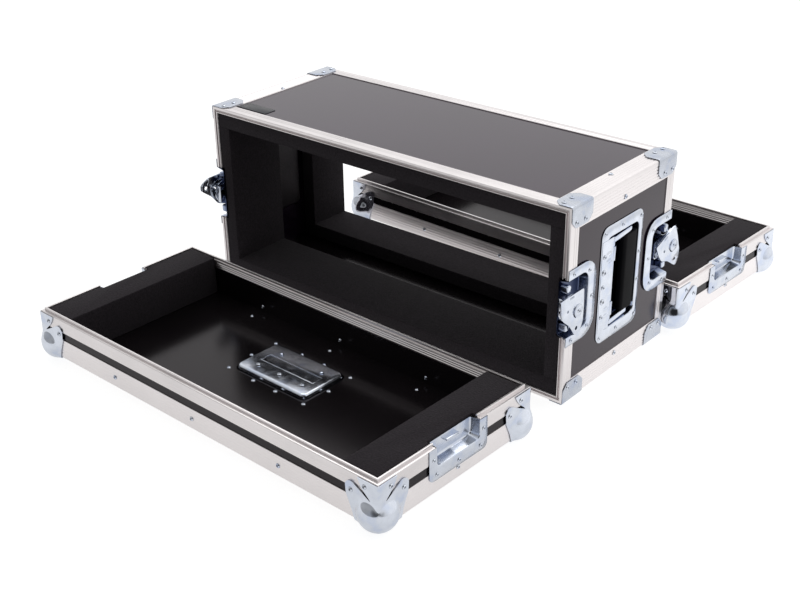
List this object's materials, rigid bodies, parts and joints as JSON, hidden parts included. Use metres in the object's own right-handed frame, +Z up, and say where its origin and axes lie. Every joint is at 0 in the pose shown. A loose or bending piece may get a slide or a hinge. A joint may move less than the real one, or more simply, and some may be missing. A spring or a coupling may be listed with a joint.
{
  "type": "amplifier head flight case",
  "caption": "Ply flight case for an amplifier head: foam-lined sleeve open front and rear, aluminium edged, with recessed latches, sprung handles and lift-off lids",
  "frame": {"origin": "middle of the underside of the sleeve's bottom panel, a little above the surface that the case stands on", "axes": "+X along the case to its right-hand end, +Y from the front opening to the rear, +Z up"},
  "size_m": [0.6861, 0.9496, 0.279],
  "materials": {
    "black_laminate": "fine-textured black laminate on birch ply, satin",
    "aluminium": "bright anodised, faintly brushed, with fine ribs",
    "zinc_steel": "pressed steel, pale blue zinc plating",
    "foam": "matt charcoal closed-cell foam",
    "grip_rubber": "moulded black rubber, semi-matt"
  },
  "bodies": {
    "sleeve": {"top_panel": "black_laminate", "bottom_panel": "black_laminate", "left_panel": "black_laminate", "right_panel": "black_laminate", "front_rim_upper": "aluminium", "front_rim_lower": "aluminium", "rear_rim_upper": "aluminium", "rear_rim_lower": "aluminium", "edge_angle_top_left": "aluminium", "edge_angle_top_right": "aluminium", "edge_angle_bottom_left": "aluminium", "edge_angle_bottom_right": "aluminium", "latch_dish_front_left": "zinc_steel", "latch_dish_front_right": "zinc_steel", "latch_dish_rear_left": "zinc_steel", "latch_dish_rear_right": "zinc_steel", "left_handle_dish": "zinc_steel", "right_handle_dish": "zinc_steel", "front_foam_lining": "foam", "rear_foam_lining": "foam"},
    "hook_front_right": {"hook_plate_front_right": "zinc_steel"},
    "hook_front_left": {"hook_plate_front_left": "zinc_steel"},
    "hook_rear_right": {"hook_plate_rear_right": "zinc_steel"},
    "hook_rear_left": {"hook_plate_rear_left": "zinc_steel"},
    "wing_front_right": {"latch_wing_front_right": "zinc_steel"},
    "wing_front_left": {"latch_wing_front_left": "zinc_steel"},
    "wing_rear_right": {"latch_wing_rear_right": "zinc_steel"},
    "wing_rear_left": {"latch_wing_rear_left": "zinc_steel"},
    "right_handle": {"right_handle_bail": "zinc_steel", "right_handle_grip": "grip_rubber"},
    "left_handle": {"left_handle_bail": "zinc_steel", "left_handle_grip": "grip_rubber"},
    "front_lid": {"front_lid_tray": "black_laminate", "front_lid_base_edge": "aluminium", "front_lid_rim_near": "aluminium", "front_lid_rim_far": "aluminium", "front_lid_foam_left": "foam", "front_lid_foam_right": "foam", "front_lid_keeper_dish_left": "zinc_steel", "front_lid_keeper_dish_right": "zinc_steel", "front_lid_ball_corner_near_left": "zinc_steel", "front_lid_ball_corner_near_right": "zinc_steel", "front_lid_ball_corner_far_left": "zinc_steel", "front_lid_ball_corner_far_right": "zinc_steel", "front_lid_handle_dish": "zinc_steel"},
    "front_lid_handle": {"front_lid_handle_bail": "zinc_steel", "front_lid_handle_grip": "grip_rubber"},
    "rear_lid": {"rear_lid_tray": "black_laminate", "rear_lid_base_edge": "aluminium", "rear_lid_rim_near": "aluminium", "rear_lid_rim_far": "aluminium", "rear_lid_foam_left": "foam", "rear_lid_foam_right": "foam", "rear_lid_keeper_dish_left": "zinc_steel", "rear_lid_keeper_dish_right": "zinc_steel", "rear_lid_ball_corner_near_left": "zinc_steel", "rear_lid_ball_corner_near_right": "zinc_steel", "rear_lid_ball_corner_far_left": "zinc_steel", "rear_lid_ball_corner_far_right": "zinc_steel"}
  },
  "joints": [
    {"name": "front_lid_pull", "type": "slide", "parent": "sleeve", "child": "front_lid", "axis": [0, -1, 0], "range_m": [0, 0.2]},
    {"name": "rear_lid_pull", "type": "slide", "parent": "sleeve", "child": "rear_lid", "axis": [0, 1, 0], "range_m": [0, 0.2]},
    {"name": "hook_draw_front_right", "type": "slide", "parent": "sleeve", "child": "hook_front_right", "axis": [0, -1, 0], "range_m": [0, 0.018]},
    {"name": "hook_draw_front_left", "type": "slide", "parent": "sleeve", "child": "hook_front_left", "axis": [0, -1, 0], "range_m": [-0.009, 0.009]},
    {"name": "hook_draw_rear_right", "type": "slide", "parent": "sleeve", "child": "hook_rear_right", "axis": [0, 1, 0], "range_m": [-0.002, 0.016]},
    {"name": "hook_draw_rear_left", "type": "slide", "parent": "sleeve", "child": "hook_rear_left", "axis": [0, 1, 0], "range_m": [0, 0.018]},
    {"name": "wing_turn_front_right", "type": "hinge", "parent": "sleeve", "child": "wing_front_right", "pos_m": [0.32, -0.119, 0.1368], "axis": [-1, 0, 0], "range_deg": [0, 180]},
    {"name": "wing_turn_front_left", "type": "hinge", "parent": "sleeve", "child": "wing_front_left", "pos_m": [-0.32, -0.119, 0.1368], "axis": [-1, 0, 0], "range_deg": [-90, 90]},
    {"name": "wing_turn_rear_right", "type": "hinge", "parent": "sleeve", "child": "wing_rear_right", "pos_m": [0.32, 0.119, 0.1368], "axis": [1, 0, 0], "range_deg": [-20, 160]},
    {"name": "wing_turn_rear_left", "type": "hinge", "parent": "sleeve", "child": "wing_rear_left", "pos_m": [-0.32, 0.119, 0.1368], "axis": [1, 0, 0], "range_deg": [0, 180]},
    {"name": "right_handle_swing", "type": "hinge", "parent": "sleeve", "child": "right_handle", "pos_m": [0.3167, -0.0178, 0.1368], "axis": [0, 0, -1], "range_deg": [0, 90], "stiffness_Nm_per_rad": 0.3, "springref_deg": -28.65},
    {"name": "left_handle_swing", "type": "hinge", "parent": "sleeve", "child": "left_handle", "pos_m": [-0.3167, 0.0178, 0.1368], "axis": [0, 0, -1], "range_deg": [0, 90], "stiffness_Nm_per_rad": 0.3, "springref_deg": -28.65},
    {"name": "front_lid_handle_swing", "type": "hinge", "parent": "front_lid", "child": "front_lid_handle", "pos_m": [0.00575, -0.3301, 0.0116], "axis": [-0.9996, 0.0269, 0], "range_deg": [0, 90], "stiffness_Nm_per_rad": 0.3, "springref_deg": -28.65}
  ],
  "couplings": [
    {"joint": "hook_draw_front_right", "follows": "wing_turn_front_right", "m_per_rad": 0.0057296},
    {"joint": "hook_draw_front_left", "follows": "wing_turn_front_left", "m_per_rad": 0.0057296},
    {"joint": "hook_draw_rear_right", "follows": "wing_turn_rear_right", "m_per_rad": 0.0057296},
    {"joint": "hook_draw_rear_left", "follows": "wing_turn_rear_left", "m_per_rad": 0.0057296}
  ]
}
